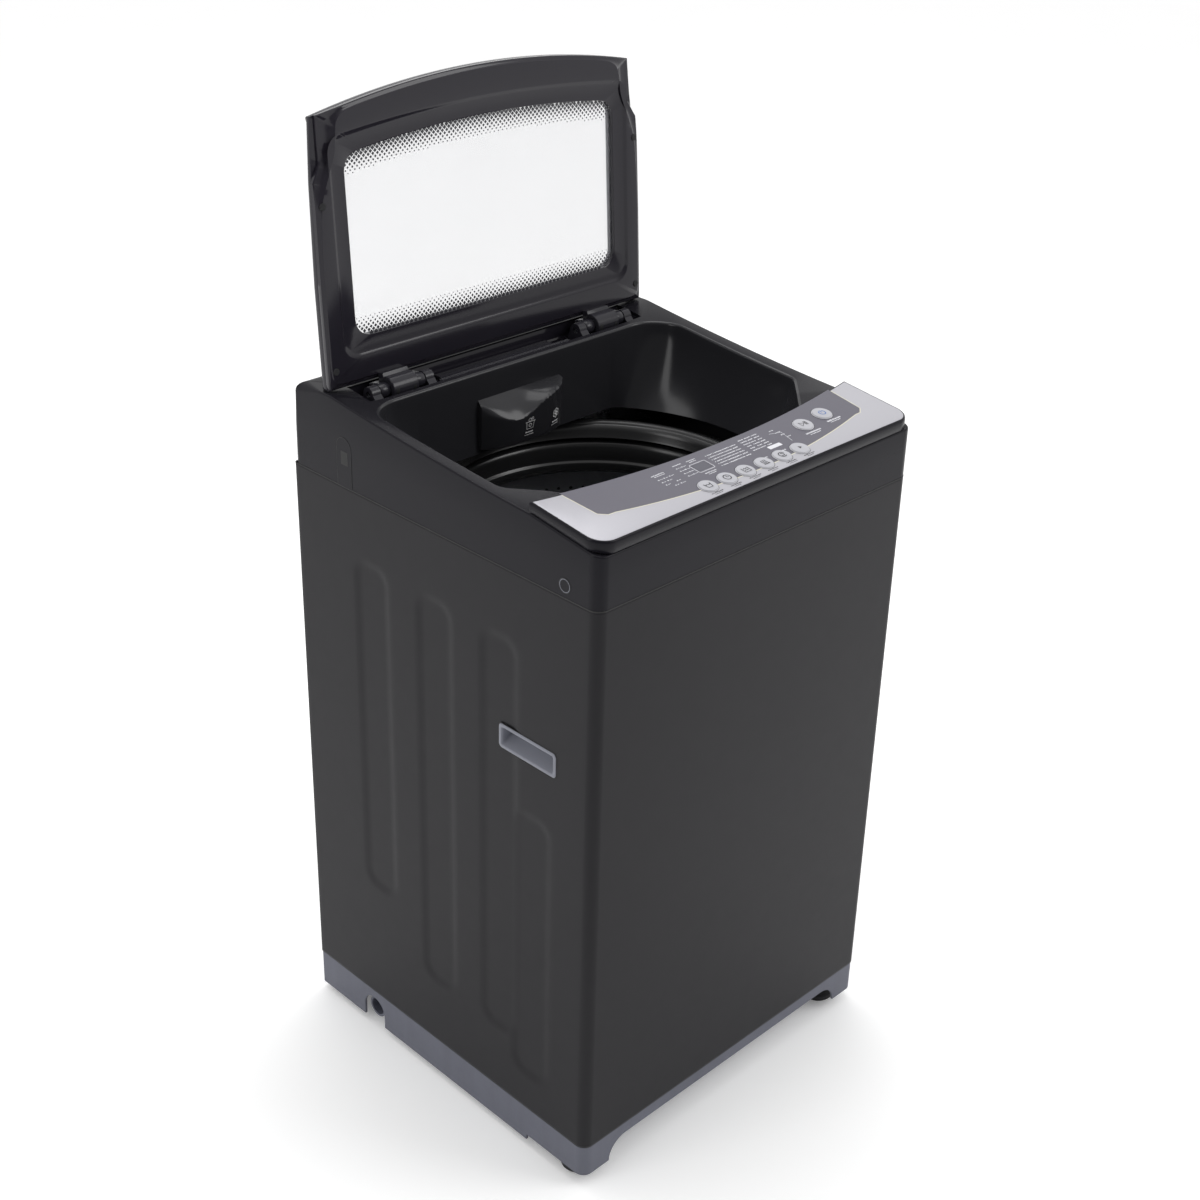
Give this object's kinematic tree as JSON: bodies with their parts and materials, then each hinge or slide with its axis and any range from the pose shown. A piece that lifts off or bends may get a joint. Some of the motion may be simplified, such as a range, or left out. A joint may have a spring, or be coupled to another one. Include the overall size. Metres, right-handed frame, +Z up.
{
  "type": "top load washing machine",
  "caption": "Free-standing top load washing machine with a hinged glass lid, sloping control panel, sprung tub, spin basket and pulsator.",
  "frame": {"origin": "on the floor, under the middle of the machine's box", "axes": "+X to the machine's right, -Y out of the painted front, +Z up"},
  "size_m": [0.522, 0.514, 1.2315],
  "materials": {
    "charcoal_paint": "satin powder coat, dark charcoal",
    "galvanised": "zinc coated sheet",
    "base_plastic": "blue-grey moulded plastic",
    "frame_plastic": "glossy charcoal plastic",
    "panel_plastic": "semi-gloss charcoal plastic",
    "handle_plastic": "mid grey moulded plastic",
    "silver_plate": "fine metallic silver paint",
    "insert_film": "violet-grey printed film",
    "button_plastic": "pearl grey caps with dark marks",
    "display": "smoked window",
    "board_green": "solder mask",
    "rubber_black": "black rubber",
    "glass_clear": "clear tempered glass with printed dot bands",
    "tub_plastic": "pale moulded plastic",
    "ring_plastic": "dark grey moulded plastic",
    "stainless": "stainless steel",
    "steel": "turned steel",
    "cast_alloy": "die-cast alloy",
    "white_plastic": "natural moulded plastic",
    "pulsator_plastic": "grey moulded plastic"
  },
  "bodies": {
    "cabinet": {"cabinet_shell": "charcoal_paint", "back_panel": "galvanised", "base_frame": "base_plastic", "rear_feet": "rubber_black", "top_frame": "frame_plastic", "side_clips": "frame_plastic", "screw_caps": "panel_plastic", "side_handles": "handle_plastic", "panel_body": "panel_plastic", "panel_fascia": "silver_plate", "panel_insert": "insert_film", "display_window": "display", "control_board": "board_green", "dispenser_housing": "frame_plastic", "inlet_valve": "white_plastic", "water_level_sensor": "white_plastic", "lid_sensor": "ring_plastic", "hinge_brackets": "frame_plastic", "hinge_pins": "steel", "corner_brackets": "galvanised", "suspension_rods": "steel", "suspension_springs": "steel", "drain_outlet": "base_plastic", "run_capacitor": "white_plastic", "cord_gland": "rubber_black", "rear_screws": "steel"},
    "left_foot": {"foot_left": "rubber_black"},
    "right_foot": {"foot_right": "rubber_black"},
    "lid": {"lid_liner": "frame_plastic", "lid_cover": "frame_plastic", "lid_glass": "glass_clear", "lid_buffers": "rubber_black"},
    "drawer": {"detergent_drawer": "frame_plastic"},
    "tub": {"outer_tub": "tub_plastic", "tub_cover": "ring_plastic", "motor": "cast_alloy", "motor_bracket": "galvanised", "gearbox": "cast_alloy", "spin_bearings": "steel", "shaft_seal": "rubber_black", "drive_belt": "rubber_black", "drain_valve": "ring_plastic", "drain_hose": "ring_plastic"},
    "basket": {"spin_basket": "stainless", "basket_base": "tub_plastic", "balance_ring": "ring_plastic", "lint_filters": "pulsator_plastic", "spin_shaft": "steel"},
    "pulsator": {"pulsator_disc": "pulsator_plastic", "pulsator_shaft": "steel", "large_pulley": "cast_alloy"},
    "motor_rotor": {"motor_pulley": "cast_alloy"},
    "button_program_body": {"button_program": "button_plastic"},
    "button_water_body": {"button_water": "button_plastic"},
    "button_wash_body": {"button_wash": "button_plastic"},
    "button_rinse_body": {"button_rinse": "button_plastic"},
    "button_spin_body": {"button_spin": "button_plastic"},
    "button_delay_body": {"button_delay": "button_plastic"},
    "button_start_body": {"button_start": "button_plastic"},
    "button_power_body": {"button_power": "button_plastic"}
  },
  "joints": [
    {"name": "lid_hinge", "type": "hinge", "parent": "cabinet", "child": "lid", "pos_m": [0, 0.172, 0.888], "axis": [1, 0, 0], "range_deg": [0, 98.8]},
    {"name": "drawer_slide", "type": "slide", "parent": "cabinet", "child": "drawer", "axis": [0, -1, 0], "range_m": [0, 0.07]},
    {"name": "left_foot_screw", "type": "slide", "parent": "cabinet", "child": "left_foot", "axis": [0, 0, -1], "range_m": [0, 0.012]},
    {"name": "right_foot_screw", "type": "slide", "parent": "cabinet", "child": "right_foot", "axis": [0, 0, -1], "range_m": [0, 0.012]},
    {"name": "tub_suspension", "type": "slide", "parent": "cabinet", "child": "tub", "axis": [0, 0, 1], "range_m": [-0.012, 0.003], "stiffness_N_per_m": 12000, "springref_m": 0.01814, "deforming": ["suspension_springs"]},
    {"name": "basket_spin", "type": "hinge", "parent": "tub", "child": "basket", "pos_m": [0, 0, 0.4], "axis": [0, 0, 1], "continuous": true},
    {"name": "pulsator_spin", "type": "hinge", "parent": "tub", "child": "pulsator", "pos_m": [0, 0, 0.4], "axis": [0, 0, 1], "continuous": true},
    {"name": "motor_spin", "type": "hinge", "parent": "tub", "child": "motor_rotor", "pos_m": [0.112, -0.078, 0.16], "axis": [0, 0, 1], "continuous": true},
    {"name": "button_program_press", "type": "slide", "parent": "cabinet", "child": "button_program_body", "axis": [0, 0.1219, -0.9925], "range_m": [0, 0.001], "stiffness_N_per_m": 900, "springref_m": -0.0006},
    {"name": "button_water_press", "type": "slide", "parent": "cabinet", "child": "button_water_body", "axis": [0, 0.1219, -0.9925], "range_m": [0, 0.001], "stiffness_N_per_m": 900, "springref_m": -0.0006},
    {"name": "button_wash_press", "type": "slide", "parent": "cabinet", "child": "button_wash_body", "axis": [0, 0.1219, -0.9925], "range_m": [0, 0.001], "stiffness_N_per_m": 900, "springref_m": -0.0006},
    {"name": "button_rinse_press", "type": "slide", "parent": "cabinet", "child": "button_rinse_body", "axis": [0, 0.1219, -0.9925], "range_m": [0, 0.001], "stiffness_N_per_m": 900, "springref_m": -0.0006},
    {"name": "button_spin_press", "type": "slide", "parent": "cabinet", "child": "button_spin_body", "axis": [0, 0.1219, -0.9925], "range_m": [0, 0.001], "stiffness_N_per_m": 900, "springref_m": -0.0006},
    {"name": "button_delay_press", "type": "slide", "parent": "cabinet", "child": "button_delay_body", "axis": [0, 0.1219, -0.9925], "range_m": [0, 0.001], "stiffness_N_per_m": 900, "springref_m": -0.0006},
    {"name": "button_start_press", "type": "slide", "parent": "cabinet", "child": "button_start_body", "axis": [0, 0.1219, -0.9925], "range_m": [0, 0.001], "stiffness_N_per_m": 900, "springref_m": -0.0006},
    {"name": "button_power_press", "type": "slide", "parent": "cabinet", "child": "button_power_body", "axis": [0, 0.1219, -0.9925], "range_m": [0, 0.001], "stiffness_N_per_m": 900, "springref_m": -0.0006}
  ],
  "couplings": [
    {"joint": "motor_spin", "follows": "pulsator_spin", "ratio": 4}
  ]
}
